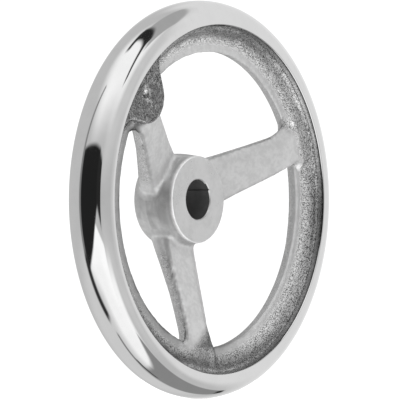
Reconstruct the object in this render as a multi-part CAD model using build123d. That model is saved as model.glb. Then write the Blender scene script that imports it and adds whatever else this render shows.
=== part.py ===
from build123d import *

import os
from math import cos, radians, sin, tan

# Three-spoke machine handwheel: one sand-cast piece of aluminium with a polished rim,
# a turned hub with a keyed bore, and a cast boss where a grip could be fitted.
# Sizes are in millimetres and degrees. The wheel turns about Y: the operator stands on
# the -Y side, and the hub's seat faces the machine on the +Y side. The origin is the
# centre of that seat. Depths are measured from the rim's front lip towards +Y, and
# angles about the axis from +X towards +Z.

# --- wheel ---
wheel_diameter = 160.0      # over the polished rim
wheel_height = 31.1         # front lip of the rim to the hub's seat

# --- rim, polished outside ---
rim_depth = 20.4
nose_radius = 13.0          # the flatter arc at the widest place
nose_half_angle = 20.0
lip_land = 0.8              # flat ring beside the front lip
back_lip_angle = 70.0       # how far the polish wraps round the back shoulder

# --- rim, rough inside ---
lip_wall = 1.3              # short wall under the front lip
lip_undercut = 0.3
ridge_inset = 2.0           # lip to the ridge that borders the channel
ridge_depth = 3.8
ridge_step = 0.9            # drop from the ridge into the channel
ridge_slope = 27.0          # of that drop, from the axis
web_reach = 10.8            # lip to the inner edge
web_front_depth = 4.7
web_edge_depth = 6.6        # parting line along the inner edge
web_back_depth = 10.9
web_front_draft = 20.0
web_back_draft = 8.0
web_chamfer = 1.3           # broken edges of the web, front and back
channel_sag = 0.9           # hollow of the front channel
cavity_draft = 20.0

# --- hub ---
hub_diameter = 37.4         # at the parting line, halfway along
hub_length = 20.0
hub_draft = 7.0
hub_belly_round = 30.0      # softens the parting line
hub_front_chamfer = 0.8
hub_seat_round = 3.0

# --- bore ---
bore_diameter = 16.0
key_width = 3.6
key_depth = 1.1
key_angle = 42.5
cut_margin = 1.0            # how far the bore's cutter stands out of each end

# --- spokes ---
spoke_count = 3
spoke_angle = 21.1          # of the first one
spoke_hub_width = 19.2
spoke_rim_width = 15.2
spoke_root_width = 12.0
spoke_hub_thickness = 10.8
spoke_rim_thickness = 9.6
spoke_rim_depth = 5.1       # middle of the section at the rim's inner edge
spoke_root_depth = 6.4      # front of the section where it ends inside the rim
spoke_corner_share = 0.45   # corner radius over thickness, so the sides are nearly round
spoke_hub_fillet = 2.5
spoke_rim_fillet = 2.2
flare_angles = (45, 90)      # where that fillet is sampled, up to its full turn

# --- grip boss ---
boss_spoke = 1              # it sits on the second spoke
boss_shift_angle = -1.9     # the casting's own offset from that spoke
boss_diameter = 21.8
boss_inset = 7.5            # lip to the boss's centre
boss_face_depth = 0.1
boss_back_depth = 10.5
boss_fillet = 9.0           # sweep from the boss into the rim
boss_edge_chamfer = 0.5
boss_bond = 2.0             # how far it reaches into the rim's solid
dimple_diameter = 5.3
dimple_depth = 1.0
dimple_shift = 2.4          # outwards from the boss's centre


# Sizes that follow from the ones above.
wheel_radius = wheel_diameter / 2
nose_slope = radians(nose_half_angle)
shoulder_radius = (rim_depth / 2 - nose_radius * sin(nose_slope)) / (1 - sin(nose_slope))
shoulder_centre = wheel_radius - nose_radius + (nose_radius - shoulder_radius) * cos(nose_slope)
lip_radius = shoulder_centre - lip_land
inner_radius = lip_radius - web_reach
flare_start = inner_radius - spoke_rim_fillet
ridge_radius = lip_radius - ridge_inset
hub_radius = hub_diameter / 2
bore_radius = bore_diameter / 2
spoke_start = (bore_radius + hub_radius) / 2
parting_depth = wheel_height - hub_length / 2


def at(radius, depth):
    """Point of a turned profile, from its radius and its depth behind the front lip."""
    return (radius, depth - wheel_height)


def shoulder_point(angle, centre_depth):
    """Point of a shoulder arc, its angle counted from the outward radius to the front."""
    slope = radians(angle)
    return at(
        shoulder_centre + shoulder_radius * cos(slope),
        centre_depth - shoulder_radius * sin(slope),
    )


def rim_outside():
    """Polished half of the section: front land, shoulder, nose and back shoulder."""

    def front(angle):
        return shoulder_point(angle, shoulder_radius)

    def back(angle):
        return shoulder_point(-angle, rim_depth - shoulder_radius)

    land = Line(at(lip_radius, 0), front(90))
    front_shoulder = ThreePointArc(front(90), front((90 + nose_half_angle) / 2), front(nose_half_angle))
    nose = ThreePointArc(front(nose_half_angle), at(wheel_radius, rim_depth / 2), back(nose_half_angle))
    back_shoulder = ThreePointArc(
        back(nose_half_angle), back((back_lip_angle + nose_half_angle) / 2), back(back_lip_angle)
    )
    return land + front_shoulder + nose + back_shoulder


def rim_inside():
    """Rough half of the section: front channel, web edge and back cavity."""
    back_lip = shoulder_point(-back_lip_angle, rim_depth - shoulder_radius)
    back_lip_depth = back_lip[1] + wheel_height
    step_foot = ridge_radius - ridge_step * tan(radians(ridge_slope))
    front_draft = tan(radians(web_front_draft))
    back_draft = tan(radians(web_back_draft))
    front_corner = inner_radius + (web_edge_depth - web_front_depth) * front_draft
    back_corner = inner_radius + (web_back_depth - web_edge_depth) * back_draft
    cavity_foot = back_lip[0] - (back_lip_depth - web_back_depth) * tan(radians(cavity_draft))
    return Polyline(
        at(lip_radius, 0),
        at(lip_radius + lip_undercut, lip_wall),
        at(ridge_radius, ridge_depth),
        at(step_foot, ridge_depth + ridge_step),
        at((step_foot + front_corner) / 2, web_front_depth + channel_sag),
        at(front_corner + web_chamfer, web_front_depth),
        at(front_corner - web_chamfer * front_draft, web_front_depth + web_chamfer),
        at(inner_radius, web_edge_depth),
        at(back_corner - web_chamfer * back_draft, web_back_depth - web_chamfer),
        at(back_corner + web_chamfer, web_back_depth),
        at(cavity_foot, web_back_depth),
        back_lip,
    )


def make_rim():
    return revolve(make_face(rim_outside() + rim_inside()), Axis.Y)


def make_hub():
    """Hub with draft both ways from its parting line, a chamfered front and a rounded seat."""
    front = wheel_height - hub_length
    draft = tan(radians(hub_draft))
    end_radius = hub_radius - hub_length / 2 * draft
    outline = FilletPolyline(
        at(end_radius + hub_front_chamfer * draft, front + hub_front_chamfer),
        at(hub_radius, parting_depth),
        at(end_radius, wheel_height),
        at(0, wheel_height),
        radius=[hub_belly_round, hub_seat_round],
    )
    front_face = Polyline(outline @ 1, at(0, front), at(end_radius - hub_front_chamfer, front), outline @ 0)
    return revolve(make_face(outline + front_face), Axis.Y)


def along_spoke(radius, at_hub, at_rim):
    """Size at a radius of a spoke that tapers evenly from the hub to the rim's inner edge."""
    return at_hub + (at_rim - at_hub) * (radius - hub_radius) / (inner_radius - hub_radius)


def spoke_width(radius):
    return along_spoke(radius, spoke_hub_width, spoke_rim_width)


def spoke_thickness(radius):
    return along_spoke(radius, spoke_hub_thickness, spoke_rim_thickness)


def spoke_depth(radius):
    """Depth of the middle of a spoke, which leaves the hub at its parting line."""
    return along_spoke(radius, parting_depth, spoke_rim_depth)


def make_spoke_bar():
    """Straight stretch of a spoke along +X: its side outline crossed with its plan outline."""
    ends = (spoke_start, flare_start)
    front = [at(radius, spoke_depth(radius) - spoke_thickness(radius) / 2) for radius in ends]
    back = [at(radius, spoke_depth(radius) + spoke_thickness(radius) / 2) for radius in ends]
    side = make_face(Polyline(*front, *reversed(back), close=True))
    left = [(radius, spoke_width(radius) / 2) for radius in ends]
    right = [(radius, -spoke_width(radius) / 2) for radius in ends]
    plan = Plane.XZ * make_face(Polyline(*left, *reversed(right), close=True))
    bar = extrude(side, spoke_hub_width, both=True) & extrude(plan, wheel_height, both=True)
    long_edges = bar.edges().sort_by(SortBy.LENGTH)[-4:]
    return fillet(long_edges, spoke_corner_share * spoke_rim_thickness)


def spoke_section(radius, depth, width, thickness):
    """Rounded section of a spoke along +X, square to the radius."""
    plane = Plane(origin=(radius, depth - wheel_height, 0), x_dir=(0, 0, 1), z_dir=(1, 0, 0))
    corner = spoke_corner_share * min(thickness, spoke_rim_thickness)
    return plane * RectangleRounded(width, thickness, corner)


def make_spoke():
    """Whole spoke along +X. Its straight stretch widens in a quarter round against the rim's
    inner edge, and then runs out across the channel, behind the lip."""
    bar = make_spoke_bar()
    sections = [bar.faces().sort_by(Axis.X)[-1]]
    for angle in flare_angles:
        radius = flare_start + spoke_rim_fillet * sin(radians(angle))
        width = spoke_width(radius) + 2 * spoke_rim_fillet * (1 - cos(radians(angle)))
        sections.append(spoke_section(radius, spoke_depth(radius), width, spoke_thickness(radius)))
    thickness = web_back_depth - spoke_root_depth
    middle = spoke_root_depth + thickness / 2
    sections.append(spoke_section(lip_radius, middle, spoke_root_width, thickness))
    return bar + loft(sections, ruled=True)


def turned(shape, angle):
    """The shape turned about the wheel's axis, from +X towards +Z."""
    return Rot(0, -angle, 0) * shape


def make_spider():
    """Hub and spokes, with the cast fillet round each spoke's foot."""
    hub = make_hub()
    spoke = make_spoke()
    spokes = [turned(spoke, spoke_angle + n * 360 / spoke_count) for n in range(spoke_count)]
    spider = hub + spokes
    return fillet(new_edges(hub, *spokes, combined=spider), spoke_hub_fillet)


def make_boss():
    """Boss along +X for a grip that isn't fitted, with the cast dimple that marks its middle."""
    bond_radius = lip_radius + 2 * lip_undercut
    centre = lip_radius - boss_inset
    pad = Pos(centre, 0) * Circle(boss_diameter / 2)
    band = Circle(bond_radius + boss_bond) - Circle(bond_radius)
    outline = pad + band
    corners = outline.vertices().filter_by(lambda corner: abs(corner.Y) > boss_diameter / 4)
    swept = fillet(corners, boss_fillet)
    reach = Pos(wheel_radius, 0) * Rectangle(wheel_radius, 5 * boss_fillet + boss_diameter / 2)
    limit = Circle(bond_radius + boss_bond)
    outline = swept & reach & limit
    face = Plane(origin=(0, boss_face_depth - wheel_height, 0), x_dir=(1, 0, 0), z_dir=(0, -1, 0))
    boss = extrude(face * outline, amount=boss_face_depth - boss_back_depth)
    boss = chamfer(boss.edges().group_by(Axis.Y)[0], boss_edge_chamfer)
    dimple_radius = (dimple_diameter**2 / 4 + dimple_depth**2) / (2 * dimple_depth)
    dimple_centre = boss_face_depth + dimple_depth - dimple_radius - wheel_height
    return boss - Pos(centre + dimple_shift, dimple_centre, 0) * Sphere(dimple_radius)


def make_bore():
    """Round bore through the hub, with its keyway."""
    middle = -hub_length / 2
    length = hub_length + 2 * cut_margin
    bore = Pos(0, middle, 0) * Rot(90, 0, 0) * Cylinder(bore_radius, length)
    reach = bore_radius + key_depth
    key = Pos(reach / 2, middle, 0) * Box(reach, length, key_width)
    return bore + turned(key, key_angle)


def make_handwheel():
    boss = turned(make_boss(), spoke_angle + boss_spoke * 360 / spoke_count + boss_shift_angle)
    return make_spider() + make_rim() + boss - make_bore()


parts = {"handwheel": make_handwheel()}

os.makedirs("parts", exist_ok=True)
for name, shape in parts.items():
    export_step(shape, f"parts/{name}.step")
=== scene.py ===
"""Machine handwheel: one aluminium casting with a polished rim, in a white studio.

The rim and the hub are turned sections. The spokes and the grip boss are cast forms that flow
into them through fillets, so they are solved as one smooth skin. Every finish is procedural.
Lengths are millimetres in the wheel's own frame until the mesh is made: x to the right, y from
the operator towards the machine with zero on the hub's seat, z up. Depths are measured along y
from the rim's front lip.
"""
import logging
import math
from collections.abc import Callable
from dataclasses import dataclass, field
from enum import Enum

import bpy
import numpy as np
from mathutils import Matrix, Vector


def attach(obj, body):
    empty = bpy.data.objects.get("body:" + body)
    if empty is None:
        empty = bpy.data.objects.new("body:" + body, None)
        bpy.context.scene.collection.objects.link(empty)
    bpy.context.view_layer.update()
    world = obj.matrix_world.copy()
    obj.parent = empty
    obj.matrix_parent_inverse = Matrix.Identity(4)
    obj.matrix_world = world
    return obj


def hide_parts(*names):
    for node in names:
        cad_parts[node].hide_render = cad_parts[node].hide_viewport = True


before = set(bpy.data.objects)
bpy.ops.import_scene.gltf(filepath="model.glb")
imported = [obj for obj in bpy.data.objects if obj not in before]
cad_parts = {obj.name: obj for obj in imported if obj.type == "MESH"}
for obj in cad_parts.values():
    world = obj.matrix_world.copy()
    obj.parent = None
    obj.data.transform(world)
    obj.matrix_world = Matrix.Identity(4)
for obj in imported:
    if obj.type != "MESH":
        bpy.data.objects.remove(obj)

Span = tuple[float, float]
Line = tuple[Span, ...]
Triple = tuple[float, float, float]
Opaque = tuple[float, float, float, float]
# What a node's socket can be fed: a plain value or another socket.
Fed = float | Triple | Opaque | bpy.types.NodeSocket

MM = 0.001
WHEEL_HEIGHT = 31.1
WHEEL_RADIUS = 80.0

SPOKE_ANGLES = (21.1, 141.1, 261.1)
# Depth of a spoke's parting line over the distance from the wheel's axis.
SPOKE_PARTING = ((12.0, 20.6), (18.7, 19.2), (27.6, 15.6), (47.3, 7.9), (51.5, 6.55), (55.0, 5.85),
                 (59.4, 5.6), (64.0, 5.7), (71.0, 6.2))

WHITE = (1.0, 1.0, 1.0, 1.0)
# Cosines to a studio panel's direction between which the panel fades in.
LEAST_FACING = 0.01
FULL_FACING = 0.06

log = logging.getLogger("handwheel")


class Zone(Enum):
    """Skins of the casting, in the order of the mesh's material slots."""

    RIM = 0
    CAST = 1
    BOSS = 2
    HUB_FACE = 3
    BORE = 4


def smooth_step(low: float, high: float, value: np.ndarray) -> np.ndarray:
    """Ease from 0 at low to 1 at high."""
    share = np.clip((value - low) / (high - low), 0.0, 1.0)
    return share * share * (3.0 - 2.0 * share)


def bell(middle: float, width: float, value: np.ndarray) -> np.ndarray:
    """Smooth bump of 1 at a middle, which fades over a width on both sides."""
    return np.exp(-(((value - middle) / width) ** 2))


def read_line(line: Line, place: np.ndarray) -> np.ndarray:
    """A broken line of (place, value) corners, read at some places."""
    knots = np.array(line)
    return np.interp(place, knots[:, 0], knots[:, 1])


def eased_line(line: Line, place: np.ndarray) -> np.ndarray:
    """A broken line read at some places, its corners eased over a few millimetres.

    Args:
        line: Corners as (place, value), in rising order of place.
        place: Where to read it.

    Returns:
        One value per place.
    """
    start, end, step, window_size = 4.0, 84.0, 0.25, 15
    (first_place, first_value), (next_place, next_value) = line[:2]
    even = np.arange(start, end, step)
    slope = (next_value - first_value) / (next_place - first_place)
    ahead = first_value + (even - first_place) * slope
    dense = np.where(even < first_place, ahead, read_line(line, even))
    window = np.hanning(window_size)[1:-1]
    soft = np.convolve(dense, window / window.sum(), mode="same")
    edge = window_size // 2 + 1
    return np.interp(place, even[edge:-edge], soft[edge:-edge])


def filleted_union(first: np.ndarray, second: np.ndarray, radius: float | np.ndarray) -> np.ndarray:
    """Signed distance to two solids that meet in a concave fillet, negative inside."""
    reach = np.hypot(np.maximum(radius - first, 0.0), np.maximum(radius - second, 0.0))
    return np.maximum(radius, np.minimum(first, second)) - reach


def radius_and_depth(points: np.ndarray) -> tuple[np.ndarray, np.ndarray]:
    """Distance from the wheel's axis and depth behind the front lip, for each point."""
    return np.hypot(points[:, 0], points[:, 2]), points[:, 1] + WHEEL_HEIGHT


def along_and_side(x: np.ndarray, z: np.ndarray, angle: float) -> tuple[np.ndarray, np.ndarray]:
    """Distance along a line that leaves the wheel's axis at an angle, and to the line's side."""
    turn = math.radians(angle)
    return x * math.cos(turn) + z * math.sin(turn), -x * math.sin(turn) + z * math.cos(turn)


@dataclass
class Shell:
    """A closed skin of four-sided faces, each with its zone.

    Sand tells how sandy the skin is at each point, and oxide_and_shading how much it is darkened:
    mostly painted shade, partly oxide speckle, and below 0 a painted highlight.
    """

    points: np.ndarray
    quads: np.ndarray
    zones: np.ndarray
    sand: np.ndarray
    oxide_and_shading: np.ndarray

    @staticmethod
    def joined(shells: "list[Shell]") -> "Shell":
        """All the shells as one.

        Args:
            shells: The shells to join.

        Returns:
            One shell with the points and faces of all of them.
        """
        starts = np.cumsum([0] + [len(shell.points) for shell in shells[:-1]])
        return Shell(
            np.concatenate([shell.points for shell in shells]),
            np.concatenate([shell.quads + start for shell, start in zip(shells, starts)]),
            np.concatenate([shell.zones for shell in shells]),
            np.concatenate([shell.sand for shell in shells]),
            np.concatenate([shell.oxide_and_shading for shell in shells]),
        )

    def normals(self) -> np.ndarray:
        """Unit normals at the points, averaged over the faces around each.

        Returns:
            One normal per point, looking outwards.
        """
        corners = self.points[self.quads]
        across = np.cross(corners[:, 2] - corners[:, 0], corners[:, 3] - corners[:, 1])
        total = np.zeros_like(self.points)
        for corner in range(4):
            np.add.at(total, self.quads[:, corner], across)
        length = np.linalg.norm(total, axis=1, keepdims=True)
        return total / np.maximum(length, 1e-12)


class Grain:
    """Smooth random unevenness in space, the same on every run."""

    LATTICE_SIZE = 8192
    HASHES = (73856093, 19349663, 83492791)

    def __init__(self, seed: int) -> None:
        """Fill the lattice from a seed."""
        self.lattice = np.random.default_rng(seed).uniform(-1.0, 1.0, self.LATTICE_SIZE)

    def sample(self, points: np.ndarray, size: float) -> np.ndarray:
        """Unevenness between -1 and 1 at some points.

        Args:
            points: Places, one per row.
            size: Width of one lump, in the same unit.

        Returns:
            One value per point.
        """
        scaled = points / size
        cell = np.floor(scaled).astype(np.int64)
        share = scaled - cell
        share = share * share * (3.0 - 2.0 * share)
        total = np.zeros(len(points))
        for dx in (0, 1):
            for dy in (0, 1):
                for dz in (0, 1):
                    key = (cell[:, 0] + dx) * self.HASHES[0] ^ (cell[:, 1] + dy) * self.HASHES[1]
                    key ^= (cell[:, 2] + dz) * self.HASHES[2]
                    weight = np.abs(1 - dx - share[:, 0]) * np.abs(1 - dy - share[:, 1])
                    weight = weight * np.abs(1 - dz - share[:, 2])
                    total += weight * self.lattice[key & self.LATTICE_SIZE - 1]
        return total


@dataclass
class CastSkin:
    """What the sand mould leaves on the unmachined surfaces, and what the file takes off.

    oxide_and_shading is the darkening of the skin: mostly painted shade towards the lip, under it
    and on one side of the wheel, with some oxide speckle, and below 0 a painted highlight. Fields
    that end in band, depths or sides are the two ends of a smooth change over the radius, the
    depth or the distance from a spoke's middle. Angles go round the wheel from the right
    upwards, in degrees.
    """

    sand_height: float = 0.030
    sand_lump: float = 1.15
    filed_height: float = 0.030
    filed_lump: float = 2.6

    filed_end: float = 61.8
    filed_corners: tuple[float, ...] = (66.0, 62.0, 57.8)
    filed_wander: float = 3.5
    filed_fade: float = 4.5
    filed_sides: Span = (8.5, 12.0)

    floor_sand: float = 0.10
    channel_band: Span = (61.2, 64.2)
    wall_band: Span = (69.3, 69.8)
    wall_depths: Span = (3.0, 6.0)
    edge_sand: float = 0.25
    side_sand: float = 0.45
    foot_sands: tuple[float, ...] = (1.0, 0.0, 1.0)

    # Painted shade across the channel over the radius: below 0, which is painted light, near the
    # inner edge, and darker towards the lip.
    cove_line: Line = ((59.6, 0.0), (60.2, -0.25), (62.3, -0.25), (65.0, 0.13), (67.0, 0.46),
                       (69.2, 0.66))
    bead_line: Line = ((67.95, 0.0), (68.2, 1.0), (69.05, 1.0), (69.2, 0.0))
    # Painted shade on the side of the wheel away from the light, between the angles dark_start and
    # dark_end.
    dark_line: Line = ((60.0, 1.0), (66.0, 0.6), (69.0, 0.0))
    dark_side_shade: float = 0.75
    dark_start: Span = (95.0, 150.0)
    dark_end: Span = (270.0, 308.0)
    # Painted highlight on the bead and the wall under the lip round sheen_angle, where they catch
    # the light.
    sheen_angle: float = 28.0
    sheen_spread: float = 22.0
    # Painted light on the channel's inner band round light_angle.
    light_angle: float = -10.0
    light_spread: float = 40.0
    light_level: float = 0.16
    light_band: Span = (60.5, 64.0)
    # Painted shade on the bead and on the wall under the lip, darkest in the undercut at the lip.
    bead_shade: float = 0.5
    wall_radius: float = 69.4
    wall_shade: float = 0.66
    wall_sheen: float = 0.40
    lip_shade: float = 0.9
    # How much darker the unfiled foot of each spoke is.
    foot_darkening: tuple[float, ...] = (0.40, 0.0, 0.52)
    film_lump: float = 0.8
    # Painted shade on the rim's inner edge face, more on the shaded side of the wheel.
    edge_shade: float = 0.24
    dark_edge_shade: float = 0.36
    edge_band: Span = (58.6, 59.3)
    edge_depths: Span = (6.1, 6.6)
    grain: Grain = field(default_factory=lambda: Grain(41))

    def filed(self, points: np.ndarray) -> np.ndarray:
        """How far the fronts of the spokes are filed smooth.

        Args:
            points: Places on the casting, one per row.

        Returns:
            One share per point, from 0 for as cast to 1 for filed.
        """
        total = np.zeros(len(points))
        wander = self.grain.sample(points, self.filed_wander)
        for angle, corner in zip(SPOKE_ANGLES, self.filed_corners):
            along, side = along_and_side(points[:, 0], points[:, 2], angle)
            limit = np.minimum(self.filed_end, corner - side) + wander
            behind = points[:, 1] + WHEEL_HEIGHT - eased_line(SPOKE_PARTING, along)
            past = 0.5 + 0.6 * smooth_step(56.0, 60.0, along)
            share = 1.0 - smooth_step(-self.filed_fade, self.filed_fade, along - limit)
            share *= 1.0 - smooth_step(-0.7, past, behind)
            share *= 1.0 - smooth_step(*self.filed_sides, np.abs(side))
            total = np.maximum(total, np.where(along > 0, share, 0.0))
        return total

    def foot(self, points: np.ndarray, levels: tuple[float, ...]) -> np.ndarray:
        """How much of each point lies on the unfiled foot of a spoke, times that spoke's level.

        Args:
            points: Places on the casting, one per row.
            levels: One level for each spoke.

        Returns:
            One value per point.
        """
        total = np.zeros(len(points))
        for angle, level in zip(SPOKE_ANGLES, levels):
            along, side = along_and_side(points[:, 0], points[:, 2], angle)
            behind = points[:, 1] + WHEEL_HEIGHT - eased_line(SPOKE_PARTING, along)
            share = smooth_step(47.0, 54.0, along) * (1.0 - smooth_step(0.0, 1.2, behind))
            share *= 1.0 - smooth_step(8.5, 13.0, np.abs(side - 1.0))
            share *= 1.0 - smooth_step(66.0, 68.0, along)
            total = np.maximum(total, level * share)
        return total

    def sand(self, points: np.ndarray) -> np.ndarray:
        """How sandy the skin is: rough in the channel, smoother on its inner edge and the spokes.

        Args:
            points: Places on the casting, one per row.

        Returns:
            One share per point, from 0 for smooth to 1 for sandy.
        """
        radius, depth = radius_and_depth(points)
        rough = smooth_step(*self.channel_band, radius)
        channel = self.floor_sand + (1.0 - self.floor_sand) * rough
        wall = smooth_step(*self.wall_band, radius) * (1.0 - smooth_step(*self.wall_depths, depth))
        edge = self.edge_sand * (1.0 - smooth_step(60.0, 60.4, radius))
        edge = edge * smooth_step(6.2, 7.0, depth)
        rim = (channel + edge) * (1.0 - 0.5 * wall)
        inside = self.side_sand * smooth_step(19.0, 27.0, radius)
        base = inside + (rim - inside) * smooth_step(57.5, 59.5, radius)
        return np.maximum(base, self.foot(points, self.foot_sands)) * (1.0 - self.filed(points))

    def cove_shading(self, points: np.ndarray, angle: np.ndarray, dark: np.ndarray) -> np.ndarray:
        """Painted shade across the channel: more towards the lip, less where it lies open to the
        light.

        Args:
            points: Places on the casting, one per row.
            angle: Angle of each round the wheel, in degrees.
            dark: How much each lies on the side of the wheel that is painted in shade.

        Returns:
            One value per point, below 0 for painted light.
        """
        radius = radius_and_depth(points)[0]
        wander = 0.7 * self.grain.sample(points, 5.0)
        oxide_and_shading = read_line(self.cove_line, radius + wander)
        # Painted shade on the side of the wheel away from the light.
        oxide_and_shading += self.dark_side_shade * dark * read_line(self.dark_line, radius)
        # Painted light on the channel's inner band round light_angle.
        swing = (angle + (180.0 - self.light_angle)) % 360.0 - 180.0
        light = self.light_level * bell(0.0, self.light_spread, swing)
        return oxide_and_shading - light * smooth_step(*self.light_band, radius)

    def oxide_and_shading(self, points: np.ndarray) -> np.ndarray:
        """Painted shade and some oxide on the skin: most in the channel's corner, under the lip.

        Args:
            points: Places on the casting, one per row.

        Returns:
            One value per point, below 0 for a painted highlight.
        """
        radius, depth = radius_and_depth(points)
        angle = np.degrees(np.arctan2(points[:, 2], points[:, 0])) % 360.0
        # Painted highlight on the bead and the wall round sheen_angle; elsewhere the bead gets
        # painted shade.
        sheen = bell(self.sheen_angle, self.sheen_spread, angle)
        # Share of each point on the side of the wheel that gets painted shade.
        dark = smooth_step(*self.dark_start, angle) * (1.0 - smooth_step(*self.dark_end, angle))
        speckle = self.grain.sample(points, self.film_lump)
        cove = self.cove_shading(points, angle, dark)
        bead = self.bead_shade * (1.0 - sheen) + (0.14 + 0.7 * sheen) * speckle
        oxide_and_shading = cove + read_line(self.bead_line, radius) * (bead - cove)
        # Painted shade on the wall under the lip, darkest in the undercut just behind it.
        wall = self.wall_shade - self.wall_sheen * sheen
        wall = wall + (self.lip_shade - wall) * smooth_step(1.6, 0.8, depth)
        oxide_and_shading = np.where(radius > self.wall_radius, wall, oxide_and_shading)
        # A darker patch on the unfiled foot of each spoke.
        foot = self.foot(points, self.foot_darkening)
        oxide_and_shading = np.maximum(oxide_and_shading, foot * smooth_step(0.0, 0.5, oxide_and_shading + 0.4))
        oxide_and_shading *= 1.0 - self.filed(points)
        oxide_and_shading += 0.10 * np.maximum(oxide_and_shading, 0.0) * speckle
        # Painted shade on the rim's inner edge face, more on the shaded side of the wheel.
        edge = (self.edge_shade + self.dark_edge_shade * dark) * smooth_step(*self.edge_band, radius)
        edge *= smooth_step(*self.edge_depths, depth)
        return np.where(depth < self.edge_depths[1], np.maximum(oxide_and_shading, edge), edge)

    def relief(self, points: np.ndarray, sand: np.ndarray) -> np.ndarray:
        """Height of the cast grain.

        Args:
            points: Places on the casting.
            sand: How sandy it is there, from 0 to 1.

        Returns:
            Height along the surface's normal.
        """
        fine = self.grain.sample(points, self.sand_lump)
        broad = self.grain.sample(points + 37.0, 3.1 * self.sand_lump)
        smooth = self.grain.sample(points - 11.0, self.filed_lump)
        rough = self.sand_height * (0.75 * fine + 0.5 * broad)
        return sand * rough + (1.0 - sand) * self.filed_height * smooth


def arc(centre: Span, radius: float, start: float, end: float, count: int) -> np.ndarray:
    """(radius, depth) points of an arc, its angles in degrees from outwards towards the depth."""
    angles = np.radians(np.linspace(start, end, count))
    return np.array(centre) + radius * np.stack([np.cos(angles), np.sin(angles)], axis=1)


def rounded(corners: list[tuple[float, float, float]], spacing: float) -> np.ndarray:
    """Open outline through corners, each rounded to its own radius and evenly divided.

    Args:
        corners: (radius, depth, rounding) of each corner, the rounding of the ends unused.
        spacing: Longest step between two points.

    Returns:
        One (radius, depth) pair per row.
    """
    path = [np.array(corners[0][:2])]
    for before, corner, after in zip(corners, corners[1:], corners[2:]):
        middle = np.array(corner[:2])
        back = np.array(before[:2]) - middle
        onward = np.array(after[:2]) - middle
        back_unit = back / np.linalg.norm(back)
        onward_unit = onward / np.linalg.norm(onward)
        half = 0.5 * math.acos(float(np.clip(back_unit @ onward_unit, -1.0, 1.0)))
        room = 0.49 * min(np.linalg.norm(back), np.linalg.norm(onward))
        tangent = min(corner[2] / math.tan(half), room) if corner[2] > 0 else 0.0
        if tangent < 1e-6:
            path.append(middle)
            continue
        start = middle + back_unit * tangent
        end = middle + onward_unit * tangent
        steps = max(3, int(math.ceil(2.0 * tangent / spacing)))
        for share in np.linspace(0.0, 1.0, steps):
            bend = 2 * share * (1 - share) * middle
            path.append((1 - share) ** 2 * start + bend + share**2 * end)
    path.append(np.array(corners[-1][:2]))
    dense = [path[0]]
    for point in path[1:]:
        start = dense[-1]
        parts = max(1, int(math.ceil(np.linalg.norm(point - start) / spacing)))
        dense.extend(start + (point - start) * part / parts for part in range(1, parts + 1))
    return np.array(dense)


@dataclass
class SectionField:
    """Signed distance to a turned section, kept on a fine grid of radius and depth."""

    outline: np.ndarray
    low: Span
    high: Span
    step: float = 0.12

    def __post_init__(self) -> None:
        """Measure the distance at each node of the grid."""
        radii = np.arange(self.low[0], self.high[0] + self.step, self.step)
        depths = np.arange(self.low[1], self.high[1] + self.step, self.step)
        grid_radius, grid_depth = np.meshgrid(radii, depths, indexing="ij")
        nearest = np.full(grid_radius.shape, np.inf)
        inside = np.zeros(grid_radius.shape, dtype=bool)
        ends = np.roll(self.outline, -1, axis=0)
        for (r0, d0), (r1, d1) in zip(self.outline, ends):
            run = np.array([r1 - r0, d1 - d0])
            length = max(float(run @ run), 1e-12)
            share = ((grid_radius - r0) * run[0] + (grid_depth - d0) * run[1]) / length
            share = np.clip(share, 0.0, 1.0)
            gap = np.hypot(grid_radius - r0 - share * run[0], grid_depth - d0 - share * run[1])
            nearest = np.minimum(nearest, gap)
            if d0 != d1:
                crosses = (d0 > grid_depth) != (d1 > grid_depth)
                inside ^= crosses & (grid_radius < r0 + (grid_depth - d0) * run[0] / (d1 - d0))
        self.values = np.where(inside, -nearest, nearest)

    def distance(self, radius: np.ndarray, depth: np.ndarray) -> np.ndarray:
        """Signed distance between the nodes of the grid.

        Args:
            radius: Distance of each place from the wheel's axis.
            depth: Its depth.

        Returns:
            One distance per place, negative inside.
        """
        across = np.clip((radius - self.low[0]) / self.step, 0, self.values.shape[0] - 1.001)
        along = np.clip((depth - self.low[1]) / self.step, 0, self.values.shape[1] - 1.001)
        i, j = across.astype(int), along.astype(int)
        u, v = across - i, along - j
        near = self.values[i, j] * (1 - u) + self.values[i + 1, j] * u
        far = self.values[i, j + 1] * (1 - u) + self.values[i + 1, j + 1] * u
        return near * (1 - v) + far * v


def ring_quads(steps: int, count: int) -> np.ndarray:
    """Faces of a closed outline that is repeated round a closed ring.

    Args:
        steps: Number of outlines round the ring.
        count: Number of points in each.

    Returns:
        Four point numbers per face.
    """
    along, across = np.arange(steps)[:, None], np.arange(count)[None, :]
    here = along * count
    turned = (along + 1) % steps * count
    onward = (across + 1) % count
    corners = [here + across, here + onward, turned + onward, turned + across]
    return np.stack(corners, axis=-1).reshape(-1, 4)


def ring_points(angles: np.ndarray, radii: np.ndarray, depths: np.ndarray) -> np.ndarray:
    """Points of an outline at each of some angles round the wheel's axis.

    Args:
        angles: Angles, in radians.
        radii: Radius of each point, per angle or the same for all.
        depths: Depth of each point.

    Returns:
        One point per row, outline after outline.
    """
    points = np.empty((len(angles), len(depths), 3))
    points[:, :, 0] = np.cos(angles)[:, None] * radii
    points[:, :, 1] = depths - WHEEL_HEIGHT
    points[:, :, 2] = np.sin(angles)[:, None] * radii
    return points.reshape(-1, 3)


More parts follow.
